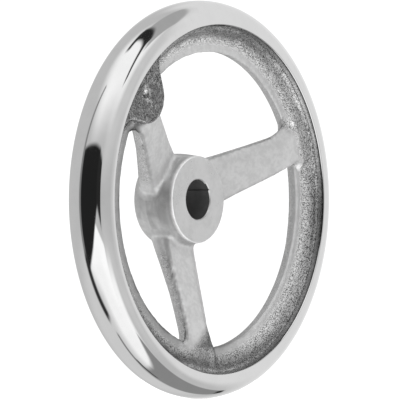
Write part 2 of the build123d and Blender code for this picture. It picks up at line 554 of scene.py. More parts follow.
@dataclass
class Rim:
    """Hollow turned rim: polished outside, a rough channel in front and a hollow behind."""

    depth: float = 20.4
    nose_radius: float = 13.0
    nose_half_angle: float = 20.0
    shoulder_radius: float = 8.745
    shoulder_centre: float = 71.0
    lip_radius: float = 70.2
    back_lip_angle: float = 70.0
    inner_edge: Span = (59.36, 6.15)
    web_back_depth: float = 10.9
    flash_height: float = 0.22
    flash_lump: float = 1.7
    flash_depth: float = 6.1
    steps: int = 456
    cast_spacing: float = 0.62
    back_spacing: float = 1.8

    def polished(self) -> np.ndarray:
        """Outside of the section, from the front lip round the nose to the back lip.

        Returns:
            One (radius, depth) pair per row.
        """
        nose_centre = WHEEL_RADIUS - self.nose_radius
        front = arc((self.shoulder_centre, self.shoulder_radius), self.shoulder_radius, -90,
                    -self.nose_half_angle, 12)
        nose = arc((nose_centre, self.depth / 2), self.nose_radius, -self.nose_half_angle,
                   self.nose_half_angle, 9)
        back = arc((self.shoulder_centre, self.depth - self.shoulder_radius), self.shoulder_radius,
                   self.nose_half_angle, self.back_lip_angle, 9)
        lip = np.array([
            (self.lip_radius + 0.02, 0.34),
            (self.lip_radius + 0.08, 0.20),
            (self.lip_radius + 0.22, 0.06),
            (self.lip_radius + 0.42, 0.0),
        ])
        return np.concatenate([lip, front, nose[1:-1], back])

    def front_channel(self) -> np.ndarray:
        """Cast skin from under the front lip across the channel to the inner edge.

        Returns:
            One (radius, depth) pair per row.
        """
        corners = [
            (self.lip_radius + 0.02, 0.34, 0.0),
            (self.lip_radius + 0.32, 0.75, 0.15),
            (self.lip_radius + 0.06, 1.35, 0.2),
            (69.50, 2.30, 0.1),
            (69.10, 2.30, 0.2),
            (68.40, 3.00, 0.5),
            (68.08, 3.55, 0.2),
            (66.90, 4.72, 1.5),
            (64.80, 5.68, 4.0),
            (62.20, 6.02, 4.0),
            (59.75, 5.78, 0.7),
            (*self.inner_edge, 0.15),
        ]
        return rounded(corners, self.cast_spacing)

    def back_hollow(self) -> np.ndarray:
        """Cast skin from the inner edge over the back of the web and up to the back lip.

        Returns:
            One (radius, depth) pair per row.
        """
        lip = self.polished()[-1]
        corners = [
            (*self.inner_edge, 0.0),
            (59.54, 6.45, 0.2),
            (59.85, 9.60, 1.2),
            (61.60, self.web_back_depth, 1.8),
            (65.90, self.web_back_depth, 2.2),
            (lip[0] - 1.3, lip[1] - 3.2, 4.0),
            (lip[0] - 0.9, lip[1] - 0.05, 0.3),
            (lip[0], lip[1], 0.0),
        ]
        return rounded(corners, self.back_spacing * self.cast_spacing)

    def section(self) -> tuple[np.ndarray, np.ndarray]:
        """The closed section of the rim.

        Returns:
            One (radius, depth) pair per row, and the zone of the strip after each.
        """
        polished, channel, hollow = self.polished(), self.front_channel(), self.back_hollow()
        outline = np.concatenate([polished, hollow[::-1][1:], channel[::-1][1:-1]])
        zones = np.full(len(outline), Zone.CAST.value)
        zones[: len(polished) - 1] = Zone.RIM.value
        return outline, zones

    def field(self) -> SectionField:
        """Distance to the section round the channel and the web."""
        return SectionField(self.section()[0], (48.0, -3.0), (74.0, 18.0))

    def shell(self, skin: CastSkin) -> Shell:
        """The rim as a skin, with the cast grain in its channel.

        Args:
            skin: What the mould left on the cast surfaces.

        Returns:
            The closed ring.
        """
        outline, zones = self.section()
        shell = turned_shell(outline, zones, self.steps)
        shell.sand = skin.sand(shell.points)
        shell.oxide_and_shading = skin.oxide_and_shading(shell.points)
        cast = shell.zones == Zone.CAST.value
        rough = np.zeros(len(shell.points))
        rough[shell.quads[cast].ravel()] = 1.0
        rough[shell.quads[~cast].ravel()] = 0.0
        radius, depth = radius_and_depth(shell.points)
        height = skin.relief(shell.points, shell.sand) * smooth_step(0.2, 2.2, depth)
        lumps = np.clip(skin.grain.sample(shell.points, self.flash_lump) + 0.15, 0.0, 1.0)
        flash = (radius < 59.5) & (np.abs(depth - self.flash_depth) < 0.25)
        height += self.flash_height * lumps * flash
        shell.points += shell.normals() * (rough * height)[:, None]
        return shell


def turned_shell(outline: np.ndarray, zones: np.ndarray, steps: int) -> Shell:
    """Closed outline turned about the wheel's axis.

    Args:
        outline: (radius, depth) points of the section, in order.
        zones: Zone of the strip from each point to the next.
        steps: Number of divisions round the wheel.

    Returns:
        The ring as a skin whose faces look outwards.
    """
    angles = np.linspace(0.0, 2 * math.pi, steps, endpoint=False)
    points = ring_points(angles, outline[:, 0], outline[:, 1])
    quads = ring_quads(steps, len(outline))
    ends = np.roll(outline, -1, axis=0)
    area = np.sum(outline[:, 0] * ends[:, 1] - ends[:, 0] * outline[:, 1])
    if area < 0:
        quads = quads[:, ::-1]
    plain = np.zeros(len(points))
    return Shell(points, quads, np.tile(zones, steps), plain, plain)


@dataclass
class Hub:
    """Turned hub with draft both ways, a faced front and a keyed bore."""

    parting_radius: float = 18.7
    end_radius: float = 17.47
    length: float = 20.0
    belly_round: float = 30.0
    front_round: float = 0.55
    seat_round: float = 3.0
    seat_width: float = 5.0
    seat_points: int = 6
    face_rings: Span = (10.5, 13.0)
    bore_radius: float = 8.0
    bore_chamfer: float = 0.35
    key_width: float = 3.4
    key_depth: float = 0.4
    key_angle: float = 39.0
    sand: float = 0.12
    side_darkening: float = 0.15
    steps: int = 180
    bore_steps: int = 9
    spacing: float = 1.2
    grain: Grain = field(default_factory=lambda: Grain(59))

    @property
    def front(self) -> float:
        """Depth of the faced front."""
        return WHEEL_HEIGHT - self.length

    def side(self) -> np.ndarray:
        """Outside of the section, from the front face to the seat.

        Returns:
            One (radius, depth) pair per row.
        """
        corners = [
            (self.end_radius - 2.0, self.front, 0.0),
            (self.end_radius, self.front, self.front_round),
            (self.parting_radius, self.front + self.length / 2, self.belly_round),
            (self.end_radius, WHEEL_HEIGHT, self.seat_round),
            (self.end_radius - self.seat_width, WHEEL_HEIGHT, 0.0),
        ]
        return rounded(corners, self.spacing)

    def field(self) -> SectionField:
        """Distance to the hub's outside, the bore left out."""
        outline = np.concatenate([[[0.0, self.front]], self.side(), [[0.0, WHEEL_HEIGHT]]])
        return SectionField(outline, (0.0, self.front - 5.0), (27.0, WHEEL_HEIGHT + 5.0))

    def bore_outline(self) -> tuple[np.ndarray, np.ndarray]:
        """Outline of the bore, the keyway's corners among its points.

        Returns:
            The angle of each point in radians, and its radius.
        """
        half = self.key_width / 2
        floor = self.bore_radius + self.key_depth
        mouth = math.asin(half / self.bore_radius)
        foot = math.atan(half / floor)
        key = math.radians(self.key_angle)
        plain = np.linspace(mouth, 2 * math.pi - mouth, self.steps)
        cut = np.linspace(-foot, foot, self.bore_steps)
        angles = np.concatenate([key + plain, key + 2 * math.pi + cut])
        radii = np.concatenate([np.full(self.steps, self.bore_radius), floor / np.cos(cut)])
        return angles, radii

    def oxide_and_shading(self, points: np.ndarray) -> np.ndarray:
        """Darker streaks round the hub's side, and a painted highlight on the front edge's left
        side.

        Args:
            points: Places on the hub, one per row.

        Returns:
            One value per point, below 0 for the painted highlight.
        """
        radius, depth = radius_and_depth(points)
        round_it = np.stack([points[:, 0] * 0.12, depth, points[:, 2] * 0.12], axis=1)
        streaks = 0.16 * self.grain.sample(round_it, 0.9) + 0.10 * self.grain.sample(points, 3.0)
        edge = bell(0.0, 0.35, np.hypot(depth - self.front - 0.2, radius - self.end_radius))
        # Painted highlight on the front edge, only on the wheel's left side.
        highlit = smooth_step(-0.3, 0.6, -points[:, 0] / self.end_radius)
        side = self.side_darkening + streaks
        return side * smooth_step(0.3, 1.2, depth - self.front) - 0.7 * edge * highlit

    def shell(self) -> Shell:
        """The hub as a skin, with the keyway cut through its bore.

        Returns:
            The closed ring.
        """
        side = self.side()
        mouth = self.bore_radius + self.bore_chamfer
        walls = np.linspace(WHEEL_HEIGHT - self.bore_chamfer, self.front + self.bore_chamfer,
                            self.bore_steps)
        face = [[radius, self.front] for radius in (mouth, *self.face_rings)]
        seat = [[self.face_rings[0], WHEEL_HEIGHT], [mouth, WHEEL_HEIGHT]]
        wall = [[self.bore_radius, depth] for depth in walls]
        outline = np.concatenate([face, side, seat, wall])
        side_end = len(face) + len(side)
        bore_start = side_end + len(seat) - 1
        keyed = np.ones(len(outline))
        keyed[1:side_end + 1] = 0.0
        zones = np.full(len(outline), Zone.CAST.value)
        zones[:len(face) + 2] = Zone.HUB_FACE.value
        zones[side_end - self.seat_points:bore_start] = Zone.HUB_FACE.value
        zones[bore_start:-1] = Zone.BORE.value
        zones[-1] = Zone.HUB_FACE.value
        angles, radii = self.bore_outline()
        radius = outline[None, :, 0] + keyed[None, :] * (radii - self.bore_radius)[:, None]
        points = ring_points(angles, radius, outline[:, 1])
        quads = ring_quads(len(angles), len(outline))
        sand = np.full(len(points), self.sand)
        return Shell(points, quads, np.tile(zones, len(angles)), sand, self.oxide_and_shading(points))


@dataclass
class GripBoss:
    """Bare boss for a grip that isn't fitted, swept into the rim on both sides.

    Places of the face's marks are (outwards, to the side) from the middle of its dimple. Heights
    are raised above the face, and a painted highlight is taken off the darkening; the dimple and
    the pit get painted shade.
    """

    angle: float = 139.2
    centre_radius: float = 62.7
    radius: float = 10.65
    face_depth: float = 0.26
    back_depth: float = 10.5
    sweep: float = 12.8
    edge_round: float = 0.55
    lip_radius: float = 70.25
    plan_blend: Span = (-0.2, 0.9)
    depth_blend: Span = (1.2, 5.0)

    dimple_radius: float = 2.65
    dimple_depth: float = 1.0
    dimple_shift: float = 2.4
    dimple_shade: float = 0.95
    crest_width: float = 0.42
    crest_height: float = 0.09
    crest_highlight: float = 0.8
    drop_place: Span = (0.3, -0.6)
    drop_radius: float = 1.1
    drop_height: float = 0.75
    drop_highlight: float = 4.6
    pit_place: Span = (3.3, -0.2)
    pit_radius: float = 0.6
    pit_depth: float = 0.5
    pit_shade: float = 0.6
    run_width: float = 0.3
    run_height: float = 0.10
    run_highlight: float = 0.9
    edge_place: float = -0.25
    edge_width: float = 0.35
    edge_highlight: float = 0.8
    speckle: float = 0.5
    speckle_lump: float = 0.7
    grain: Grain = field(default_factory=lambda: Grain(77))

    def plan(self, x: np.ndarray, z: np.ndarray) -> np.ndarray:
        """Distance to the boss's outline, seen along the wheel's axis.

        Args:
            x: Places to the right of the axis.
            z: Places above it.

        Returns:
            One signed distance per place, negative inside.
        """
        turn = math.radians(self.angle)
        centre = (self.centre_radius * math.cos(turn), self.centre_radius * math.sin(turn))
        disc = np.hypot(x - centre[0], z - centre[1]) - self.radius
        ring = self.lip_radius - np.hypot(x, z)
        return filleted_union(disc, ring, self.sweep)

    def marks(self, x: np.ndarray, z: np.ndarray) -> dict[str, np.ndarray]:
        """Where the face's marks lie: the dimple, its crest and drop, a pit and a run of metal.

        Args:
            x: Places to the right of the wheel's axis.
            z: Places above it.

        Returns:
            The share of each mark at each place, by the mark's name.
        """
        along, side = along_and_side(x, z, self.angle)
        out = along - (self.centre_radius + self.dimple_shift)
        gap = np.hypot(out, side)
        drop_gap = np.hypot(out - self.drop_place[0], side - self.drop_place[1])
        pit_gap = np.hypot(out - self.pit_place[0], side - self.pit_place[1])
        run_gap = side - 0.9 - 0.7 * np.sin(1.7 * out)
        run_share = smooth_step(-4.5, -3.5, -np.abs(out + 5.5))
        return {
            "bowl": np.clip(1.0 - (gap / self.dimple_radius) ** 2, 0.0, 1.0),
            "crest": bell(self.dimple_radius, self.crest_width, gap),
            "drop": bell(0.0, self.drop_radius, drop_gap),
            "pit": bell(0.0, self.pit_radius, pit_gap),
            "run": bell(0.0, self.run_width, run_gap) * run_share,
        }

    def relief(self, x: np.ndarray, z: np.ndarray) -> np.ndarray:
        """Height of the face's marks.

        Args:
            x: Places to the right of the wheel's axis.
            z: Places above it.

        Returns:
            One height per place.
        """
        marks = self.marks(x, z)
        raised = self.crest_height * marks["crest"] + self.drop_height * marks["drop"]
        raised = raised + self.run_height * marks["run"]
        return raised - self.dimple_depth * marks["bowl"] - self.pit_depth * marks["pit"]

    def oxide_and_shading(self, points: np.ndarray) -> np.ndarray:
        """Painted shade in the dimple and pit and speckle on the face, below 0 for painted
        highlights.

        Args:
            points: Places on the casting, one per row.

        Returns:
            One value per point.
        """
        x, z = points[:, 0], points[:, 2]
        marks = self.marks(x, z)
        # Painted highlights on the crest, the drop, the run and the boss's edge.
        bright = self.crest_highlight * marks["crest"] + self.drop_highlight * marks["drop"]
        bright = bright + self.run_highlight * marks["run"]
        bright += self.edge_highlight * bell(self.edge_place, self.edge_width, self.plan(x, z))
        # Painted shade in the dimple and the pit.
        dark = self.dimple_shade * marks["bowl"] + self.pit_shade * marks["pit"]
        return dark - bright + self.speckle * self.grain.sample(points, self.speckle_lump)

    def distance(self, points: np.ndarray) -> np.ndarray:
        """Signed distance to the boss.

        Args:
            points: Places to measure at, one per row.

        Returns:
            One distance per point, negative inside.
        """
        x, z = points[:, 0], points[:, 2]
        depth = points[:, 1] + WHEEL_HEIGHT + self.relief(x, z)
        half = (self.back_depth - self.face_depth) / 2
        middle = (self.back_depth + self.face_depth) / 2
        plan = self.plan(x, z) + self.edge_round
        height = np.abs(depth - middle) - half + self.edge_round
        outer = np.hypot(np.maximum(plan, 0.0), np.maximum(height, 0.0))
        return outer + np.minimum(np.maximum(plan, height), 0.0) - self.edge_round

    def share(self, points: np.ndarray) -> np.ndarray:
        """How much each point belongs to the boss.

        Args:
            points: Places on the casting, one per row.

        Returns:
            One share per point, from 0 to 1.
        """
        plan = self.plan(points[:, 0], points[:, 2])
        depth = points[:, 1] + WHEEL_HEIGHT
        on_plan = 1.0 - smooth_step(*self.plan_blend, plan)
        return on_plan * (1.0 - smooth_step(*self.depth_blend, depth))


@dataclass
class Spoke:
    """Inclined spoke with nearly round sides, which runs out across the rim's channel.

    Its heights in front of the parting line and behind it, and half its width, are lines over
    the distance from the wheel's axis.
    """

    angle: float
    boss: GripBoss | None = None
    glint: float = 0.6
    cell: float = 0.82

    front_height: Line = ((12.0, 3.4), (18.7, 3.1), (27.6, 2.3), (51.0, 1.9), (60.5, 1.7),
                          (64.0, 0.6), (68.0, 0.2), (71.0, 0.2))
    back_height: Line = ((12.0, 6.2), (18.7, 7.6), (27.6, 6.9), (39.0, 6.0), (51.0, 6.1),
                         (59.4, 5.0), (62.0, 5.0), (71.0, 4.6))
    half_width: Line = ((12.0, 10.0), (18.7, 9.6), (27.6, 8.9), (47.3, 7.6), (51.0, 7.2),
                        (59.4, 6.9), (63.0, 7.0), (67.0, 6.2), (71.0, 5.4))
    lean: float = 0.93
    front_corner: float = 1.5
    back_corner: float = 5.0
    crown: float = 0.22
    shoulder: float = 0.40
    shoulder_band: Span = (0.45, 1.0)
    flare: float = 3.3
    flare_band: Span = (48.0, 59.5)
    flare_depths: Span = (-1.0, 4.0)
    flash_height: float = 0.3
    flash_width: float = 0.4
    flash_wander: float = 0.45
    flash_end: Span = (58.0, 61.0)

    hub_start: float = 12.4
    core_radius: float = 10.5
    rim_end: float = 70.9
    hub_fillet: float = 2.5
    rim_fillet: float = 1.5
    flared_fillet: float = 2.2
    channel_fillet: float = 4.7
    channel_band: Span = (59.6, 63.0)
    lip_depths: Span = (0.2, 3.4)
    least_fillet: float = 0.02
    boss_fillet: float = 1.3
    bury: float = 0.03
    deep_bury: float = 0.3
    reach: float = 6.8
    solved_ends: Span = (10.0, 72.5)
    solved_y: Span = (-31.3, 0.5)
    solved_side: float = 14.0
    solved_boss_side: float = 24.0
    boss_share: float = 0.3

    # Painted highlight: a glint at each corner of the spoke's foot by the rim.
    glint_place: Span = (61.0, 9.3)
    glint_size: Span = (1.6, 1.5)
    # A darker band where the spoke meets the hub, a bright line at its edge, and darker behind the
    # parting line.
    hub_darkening: float = 0.14
    hub_line: float = 0.28
    side_darkening: float = 0.16
    # Painted shade on the flared side along the flash, where the painted highlight is also weaker.
    flared_side_shade: float = 0.22
    shaded_side_highlight: float = 0.3
    grain: Grain = field(default_factory=lambda: Grain(23))

    def local(self, points: np.ndarray) -> tuple[np.ndarray, np.ndarray, np.ndarray]:
        """Distance along the spoke, depth and distance to its side, for each point."""
        along, side = along_and_side(points[:, 0], points[:, 2], self.angle)
        return along, points[:, 1] + WHEEL_HEIGHT, side

    def flash(self, points: np.ndarray, behind: np.ndarray, across: np.ndarray) -> np.ndarray:
        """Height of the uneven ridge that the mould's joint leaves along the sides.

        Args:
            points: Places to measure at, one per row.
            behind: How far each lies behind the parting line.
            across: How far each lies from the spoke's middle, as a share of its half width.

        Returns:
            One height per point.
        """
        along, _, side = self.local(points)
        stretched = np.stack([along, side * 0.2, along * 0.3], axis=1)
        wander = self.flash_wander * self.grain.sample(stretched, 5.0)
        ridge = bell(0.0, self.flash_width, behind - wander) * smooth_step(0.6, 0.95, across)
        ridge *= 0.55 + 0.45 * self.grain.sample(points, 1.6)
        return self.flash_height * ridge * (1 - smooth_step(*self.flash_end, along))

    def bar(self, points: np.ndarray) -> np.ndarray:
        """Signed distance to the spoke alone, with the flash line along its sides.

        Args:
            points: Places to measure at, one per row.

        Returns:
            One distance per point, negative inside.
        """
        along, depth, side = self.local(points)
        behind = self.lean * (depth - eased_line(SPOKE_PARTING, along))
        ahead = behind < 0.0
        flare = self.flare * smooth_step(*self.flare_band, along)
        flare = flare * (1 - smooth_step(*self.flare_depths, behind))
        half = eased_line(self.half_width, along) + np.where(side > 0.0, flare, 0.0)
        across = np.minimum(np.abs(side) / half, 1.0)
        fall = self.crown * across**2
        fall = fall + self.shoulder * smooth_step(*self.shoulder_band, side / half)
        height = np.where(ahead, eased_line(self.front_height, along) * (1.0 - fall),
                          eased_line(self.back_height, along))
        corner = np.minimum(np.where(ahead, self.front_corner, self.back_corner), height)
        rise = np.abs(behind) - height + corner
        width = np.abs(side) - half + corner
        outer = np.hypot(np.maximum(rise, 0.0), np.maximum(width, 0.0))
        solid = outer + np.minimum(np.maximum(rise, width), 0.0) - corner
        return np.maximum(solid - self.flash(points, behind, across), self.hub_start - along)

    def rim_blend(self, points: np.ndarray) -> np.ndarray:
        """Radius of the fillet to the rim: wider on the flared side and in the channel.

        Args:
            points: Places to measure at, one per row.

        Returns:
            One radius per point, nearly 0 at the front lip.
        """
        radius, depth = radius_and_depth(points)
        side = self.local(points)[2]
        corner = self.rim_fillet + self.flared_fillet * smooth_step(0.0, 4.0, side)
        wide = self.channel_fillet + self.rim_fillet
        spread = corner + (wide - corner) * smooth_step(*self.channel_band, radius)
        return smooth_step(*self.lip_depths, depth) * spread + self.least_fillet

    def distance(self, points: np.ndarray, rim: SectionField, hub: SectionField) -> np.ndarray:
        """Signed distance to the spoke with its fillets, kept to its own neighbourhood.

        Args:
            points: Places to measure at.
            rim: Distance to the rim's section.
            hub: Distance to the hub's section.

        Returns:
            One distance per point.
        """
        radius, depth = radius_and_depth(points)
        solid = self.bar(points)
        if self.boss is not None:
            solid = filleted_union(solid, self.boss.distance(points), self.boss_fillet)
        limit = solid - self.reach
        bury = self.bury + self.deep_bury * smooth_step(self.reach - 0.9, self.reach, solid)
        rim_gap = rim.distance(radius, depth) + bury
        hub_gap = hub.distance(radius, depth) + bury
        solid = filleted_union(solid, rim_gap, self.rim_blend(points))
        solid = filleted_union(solid, hub_gap, self.hub_fillet)
        solid = np.maximum(solid, limit)
        return np.maximum(solid, np.maximum(radius - self.rim_end, self.core_radius - radius))

    def marks(self, points: np.ndarray, hub: SectionField) -> np.ndarray:
        """Darkening on the spoke: specks along the flash with painted shade and a painted highlight
        beside it, a bare line where it meets the hub, and painted glints at its foot.

        Args:
            points: Places on the spoke, one per row.
            hub: Distance to the hub's section.

        Returns:
            One value per point.
        """
        along, depth, side = self.local(points)
        behind = depth - eased_line(SPOKE_PARTING, along)
        edge = smooth_step(0.75, 0.9, np.abs(side) / eased_line(self.half_width, along))
        edge *= smooth_step(21.0, 24.0, along) * (1.0 - smooth_step(58.0, 60.0, along))
        crack_and_shade = bell(0.4, 0.28, behind) * (0.16 + 0.7 * self.grain.sample(points, 0.9))
        # Painted shade on the flared side, along the flash.
        crack_and_shade += self.flared_side_shade * bell(-0.2, 0.7, behind) * (side > 0.0)
        # Painted highlight on the rounded edge in front of the flash, weaker on the flared side.
        highlit = bell(-0.8, 0.8, behind) * (0.14 - 0.4 * self.grain.sample(points, 1.0))
        highlit *= np.where(side < 0.0, 1.0, self.shaded_side_highlight)
        gap = hub.distance(radius_and_depth(points)[0], depth)
        on_hub = self.hub_darkening * (1.0 - smooth_step(0.1, 0.9, gap)) * (along < 24.0)
        patchy = 0.5 + 0.5 * self.grain.sample(points, 2.5)
        line = self.hub_line * patchy * bell(1.0, 0.26, gap) * (along < 26.0)
        on_side = self.side_darkening * smooth_step(0.3, 1.2, behind) * smooth_step(20.0, 24.0, along)
        # Painted highlight: a glint at each corner of the foot.
        off_place = ((along - self.glint_place[0]) / self.glint_size[0]) ** 2
        off_side = ((np.abs(side) - self.glint_place[1]) / self.glint_size[1]) ** 2
        glint = self.glint * np.exp(-off_place - off_side)
        return edge * (crack_and_shade - highlit) + on_hub - line + on_side * (along < 59.0) - glint

    def box(self) -> tuple[np.ndarray, np.ndarray]:
        """Space that the spoke lies in.

        Returns:
            Its lowest and its highest corner.
        """
        turn = math.radians(self.angle)
        near, far = self.solved_ends
        ends = np.array([[math.cos(turn), math.sin(turn)]]) * np.array([[near], [far]])
        side = self.solved_boss_side if self.boss else self.solved_side
        (low_x, low_z), (high_x, high_z) = ends.min(axis=0) - side, ends.max(axis=0) + side
        low_y, high_y = self.solved_y
        return np.array([low_x, low_y, low_z]), np.array([high_x, high_y, high_z])

    def shell(self, rim: SectionField, hub: SectionField, skin: CastSkin) -> Shell:
        """The spoke as a skin solved from its distances, with the cast grain on it.

        Args:
            rim: Distance to the rim's section.
            hub: Distance to the hub's section.
            skin: What the mould left on the cast surfaces.

        Returns:
            The closed skin, with the boss where the spoke carries it.
        """
        low, high = self.box()
        solver = SkinSolver(lambda at: self.distance(at, rim, hub), low, high, self.cell)
        points, quads = solver.skin()
        share = self.boss.share(points) if self.boss else np.zeros(len(points))
        sand = skin.sand(points)
        sand = sand + share * (1.0 - sand)
        zones = np.full(len(quads), Zone.CAST.value)
        oxide_and_shading = skin.oxide_and_shading(points) * (1.0 - share) + self.marks(points, hub)
        if self.boss:
            oxide_and_shading += share * self.boss.oxide_and_shading(points)
        shell = Shell(points, quads, zones, sand, oxide_and_shading)
        shell.points = points + shell.normals() * skin.relief(points, sand)[:, None]
        if self.boss:
            middle = shell.points[quads].mean(axis=1)
            shell.zones[self.boss.share(middle) > self.boss_share] = Zone.BOSS.value
        return shell


@dataclass
class SkinSolver:
    """Skin where a distance is zero, one point in each cell of a grid that it crosses.

    The distance is a function from points to signed distances, negative inside. The grid goes
    from its lowest corner to its highest, in cells of one width.
    """

    distance: Callable[[np.ndarray], np.ndarray]
    low: np.ndarray
    high: np.ndarray
    cell: float
    rounds: int = 4
    probe: float = 0.02
    least_slope: float = 0.25
    largest_move: float = 0.3

    CORNERS = tuple((i, j, k) for i in (0, 1) for j in (0, 1) for k in (0, 1))

    def __post_init__(self) -> None:
        """Measure the distance at each node and find the cells that the skin crosses."""
        self.shape = np.ceil((self.high - self.low) / self.cell).astype(int) + 1
        axes = [self.low[k] + self.cell * np.arange(self.shape[k]) for k in range(3)]
        nodes = np.stack(np.meshgrid(*axes, indexing="ij"), axis=-1).reshape(-1, 3)
        self.values = self.distance(nodes).reshape(self.shape)
        self.inside = self.values < 0
        filled = sum(self.at_corner(self.inside, corner).astype(int) for corner in self.CORNERS)
        self.crossed = (filled > 0) & (filled < len(self.CORNERS))

    def at_corner(self, grid: np.ndarray, corner: tuple[int, ...]) -> np.ndarray:
        """Value of each cell's node that lies these steps of 0 or 1 from its lowest one."""
        (nx, ny, nz), (i, j, k) = self.shape, corner
        return grid[i:nx - 1 + i, j:ny - 1 + j, k:nz - 1 + k]

    def first_points(self) -> np.ndarray:
        """A point in each crossed cell: the mean of the places where its edges are cut.

        Returns:
            One point per crossed cell.
        """
        total = np.zeros((self.crossed.sum(), 3))
        hits = np.zeros(len(total))
        for axis in range(3):
            for corner in self.CORNERS:
                if corner[axis]:
                    continue
                other = tuple(step + (n == axis) for n, step in enumerate(corner))
                start = self.at_corner(self.values, corner)[self.crossed]
                end = self.at_corner(self.values, other)[self.crossed]
                cut = (start < 0) != (end < 0)
                place = np.tile(np.array(corner, dtype=float), (cut.sum(), 1))
                place[:, axis] += start[cut] / (start[cut] - end[cut])
                total[cut] += place
                hits[cut] += 1
        cells = np.stack(np.nonzero(self.crossed), axis=1)
        return self.low + self.cell * (cells + total / hits[:, None])

    def faces(self) -> np.ndarray:
        """A face between the four cells round each cut edge, looking outwards.

        Returns:
            Four point numbers per face.
        """
        order = np.full(self.crossed.shape, -1)
        order[self.crossed] = np.arange(self.crossed.sum())
        quads = []
        for axis in range(3):
            b, c = (axis + 1) % 3, (axis + 2) % 3
            start = np.take(self.inside, range(self.shape[axis] - 1), axis=axis)
            end = np.take(self.inside, range(1, self.shape[axis]), axis=axis)
            edges = np.stack(np.nonzero(start != end), axis=1)
            keep = (edges[:, b] > 0) & (edges[:, b] < self.shape[b] - 1)
            keep &= (edges[:, c] > 0) & (edges[:, c] < self.shape[c] - 1)
            edges = edges[keep]
            ring = []
            for db, dc in ((1, 1), (0, 1), (0, 0), (1, 0)):
                place = edges.copy()
                place[:, b] -= db
                place[:, c] -= dc
                ring.append(order[tuple(place.T)])
            around = np.stack(ring, axis=1)
            leaving = self.inside[tuple(edges.T)]
            around[~leaving] = around[~leaving][:, ::-1]
            quads.append(around)
        return np.concatenate(quads)

    def settled(self, points: np.ndarray) -> np.ndarray:
        """Move points onto the skin, along the slope of the distance.

        Args:
            points: Places near the skin, one per row.

        Returns:
            The moved points.
        """
        reach = self.largest_move * self.cell
        for _ in range(self.rounds):
            here = self.distance(points)
            rises = []
            for unit in np.eye(3):
                ahead = self.distance(points + self.probe * unit)
                rises.append((ahead - self.distance(points - self.probe * unit)) / (2 * self.probe))
            slope = np.stack(rises, axis=1)
            length = np.maximum(np.sum(slope**2, axis=1), self.least_slope)
            points = points + np.clip(-(here / length)[:, None] * slope, -reach, reach)
        return points

    def skin(self) -> tuple[np.ndarray, np.ndarray]:
        """Points of the skin and its four-sided faces, which look outwards."""
        return self.settled(self.first_points()), self.faces()


@dataclass
class Casting:
    """The whole handwheel, which is one piece."""

    rim: Rim = field(default_factory=Rim)
    hub: Hub = field(default_factory=Hub)
    boss: GripBoss = field(default_factory=GripBoss)
    skin: CastSkin = field(default_factory=CastSkin)
    boss_spoke: int = 1
    # Strength of each spoke's painted glint.
    glints: tuple[float, ...] = (0.6, 0.3, 0.1)
    fine_cell: float = 0.72
    sharp_angle: float = 38.0

    def shell(self) -> Shell:
        """Rim, hub and spokes as one skin.

        Returns:
            The skin, each part of it closed.
        """
        rim_field, hub_field = self.rim.field(), self.hub.field()
        shells = [self.rim.shell(self.skin), self.hub.shell()]
        for number, (angle, glint) in enumerate(zip(SPOKE_ANGLES, self.glints)):
            spoke = Spoke(angle, glint=glint)
            if number == self.boss_spoke:
                spoke.boss, spoke.cell = self.boss, self.fine_cell
            shells.append(spoke.shell(rim_field, hub_field, self.skin))
            log.info("spoke %d: %d faces", number + 1, len(shells[-1].quads))
        log.info("rim: %d faces, hub: %d faces", len(shells[0].quads), len(shells[1].quads))
        return Shell.joined(shells)

    def build(self, finishes: "dict[Zone, bpy.types.Material]") -> bpy.types.Object:
        """Make the mesh, give each zone its finish and put it in the frame.

        Args:
            finishes: The material of each zone.

        Returns:
            The finished piece.
        """
        shell = self.shell()
        mesh = bpy.data.meshes.new("handwheel_casting")
        mesh.from_pydata((shell.points * MM).tolist(), [], shell.quads.tolist())
        for zone in Zone:
            mesh.materials.append(finishes[zone])
        mesh.polygons.foreach_set("material_index", shell.zones.astype(np.int32))
        # The darkening goes on the mesh as oxide_and_shading: painted shade and painted highlights,
        # with some oxide speckle.
        for name, values in (("sand", shell.sand), ("oxide_and_shading", shell.oxide_and_shading)):
            layer = mesh.attributes.new(name, "FLOAT", "POINT")
            layer.data.foreach_set("value", values.astype(np.float32))
        mesh.shade_smooth()
        mesh.set_sharp_from_angle(angle=math.radians(self.sharp_angle))
        mesh.update()
        piece = bpy.data.objects.new("handwheel_casting", mesh)
        bpy.context.scene.collection.objects.link(piece)
        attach(piece, "root")
        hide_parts("handwheel")
        return piece


